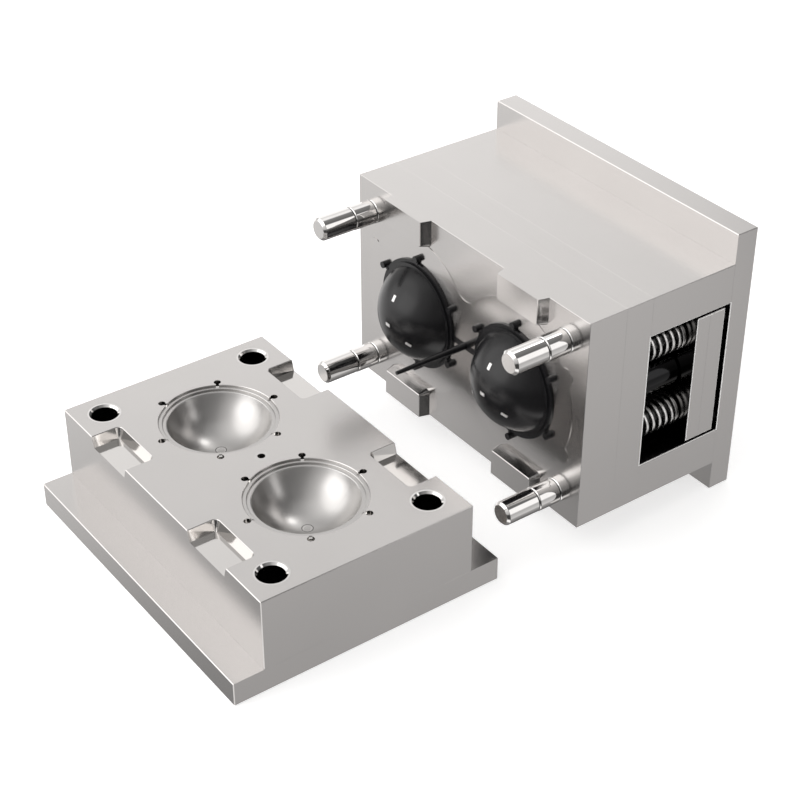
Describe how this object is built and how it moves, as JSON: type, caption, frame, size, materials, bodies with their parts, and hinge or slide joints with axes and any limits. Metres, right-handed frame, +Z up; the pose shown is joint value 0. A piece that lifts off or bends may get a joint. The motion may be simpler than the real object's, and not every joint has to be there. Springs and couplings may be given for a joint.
{
  "type": "injection mould",
  "caption": "Two-plate injection mould laid open: cavity half on its back, core half on edge with guide pins, ejector and moulded domes.",
  "frame": {"origin": "on the sprue axis, in the plane of the cavity half's back face, which is the floor", "axes": "+X from the cavity half towards the core half, +Y along the mould's long side, +Z up"},
  "size_m": [0.455, 0.292, 0.23],
  "materials": {
    "cavity_clamp_plate": "fine ground steel, satin",
    "cavity_plate": "fine ground steel, satin",
    "guide_bushes": "hardened and ground, bright",
    "sprue_bushing": "polished tool steel",
    "locating_ring": "polished tool steel",
    "locating_ring_screws": "black oxide on alloy steel",
    "cavity_plate_screws": "black oxide on alloy steel",
    "vent_pins": "polished tool steel",
    "cavity_hose_nipples": "turned brass",
    "cavity_channel_plug": "turned brass",
    "core_plate": "fine ground steel, satin",
    "core_inserts": "polished tool steel",
    "insert_seals": "black rubber cord",
    "insert_baffles": "turned brass",
    "support_plate": "fine ground steel, satin",
    "upper_spacer_block": "fine ground steel, satin",
    "lower_spacer_block": "fine ground steel, satin",
    "core_clamp_plate": "fine ground steel, satin",
    "guide_pins": "hardened and ground, bright",
    "core_frame_screws": "black oxide on alloy steel",
    "spacer_screws": "black oxide on alloy steel",
    "spacer_dowels": "hardened and ground, bright",
    "support_pillars": "polished tool steel",
    "pillar_screws": "black oxide on alloy steel",
    "stop_buttons": "polished tool steel",
    "core_hose_nipples": "turned brass",
    "core_channel_plug": "turned brass",
    "ejector_retainer_plate": "fine ground steel, satin",
    "ejector_base_plate": "fine ground steel, satin",
    "ejector_plate_screws": "black oxide on alloy steel",
    "return_pins": "hardened and ground, bright",
    "ejector_pins": "hardened and ground, bright",
    "sprue_puller": "hardened and ground, bright",
    "return_springs": "bright flat spring wire",
    "moulded_shot": "glossy black moulded plastic"
  },
  "bodies": {
    "cavity_half": {"cavity_clamp_plate": "cavity_clamp_plate", "cavity_plate": "cavity_plate", "guide_bushes": "guide_bushes", "sprue_bushing": "sprue_bushing", "locating_ring": "locating_ring", "locating_ring_screws": "locating_ring_screws", "cavity_plate_screws": "cavity_plate_screws", "vent_pins": "vent_pins", "cavity_hose_nipples": "cavity_hose_nipples", "cavity_channel_plug": "cavity_channel_plug"},
    "core_half": {"core_plate": "core_plate", "core_inserts": "core_inserts", "insert_seals": "insert_seals", "insert_baffles": "insert_baffles", "support_plate": "support_plate", "upper_spacer_block": "upper_spacer_block", "lower_spacer_block": "lower_spacer_block", "core_clamp_plate": "core_clamp_plate", "guide_pins": "guide_pins", "core_frame_screws": "core_frame_screws", "spacer_screws": "spacer_screws", "spacer_dowels": "spacer_dowels", "support_pillars": "support_pillars", "pillar_screws": "pillar_screws", "stop_buttons": "stop_buttons", "core_hose_nipples": "core_hose_nipples", "core_channel_plug": "core_channel_plug", "return_springs": "return_springs"},
    "ejector_set": {"ejector_retainer_plate": "ejector_retainer_plate", "ejector_base_plate": "ejector_base_plate", "ejector_plate_screws": "ejector_plate_screws", "return_pins": "return_pins", "ejector_pins": "ejector_pins", "sprue_puller": "sprue_puller"},
    "shot": {"moulded_shot": "moulded_shot"}
  },
  "joints": [
    {"name": "core_opening", "type": "slide", "parent": "cavity_half", "child": "core_half", "axis": [1, 0, 0], "range_m": [0, 0.2]},
    {"name": "ejector_stroke", "type": "slide", "parent": "core_half", "child": "ejector_set", "axis": [-1, 0, 0], "range_m": [0, 0.035], "deforming": ["return_springs"]},
    {"name": "shot_ejection", "type": "slide", "parent": "core_half", "child": "shot", "axis": [-1, 0, 0], "range_m": [0, 0.035]}
  ],
  "couplings": [
    {"joint": "shot_ejection", "follows": "ejector_stroke", "ratio": 1}
  ]
}
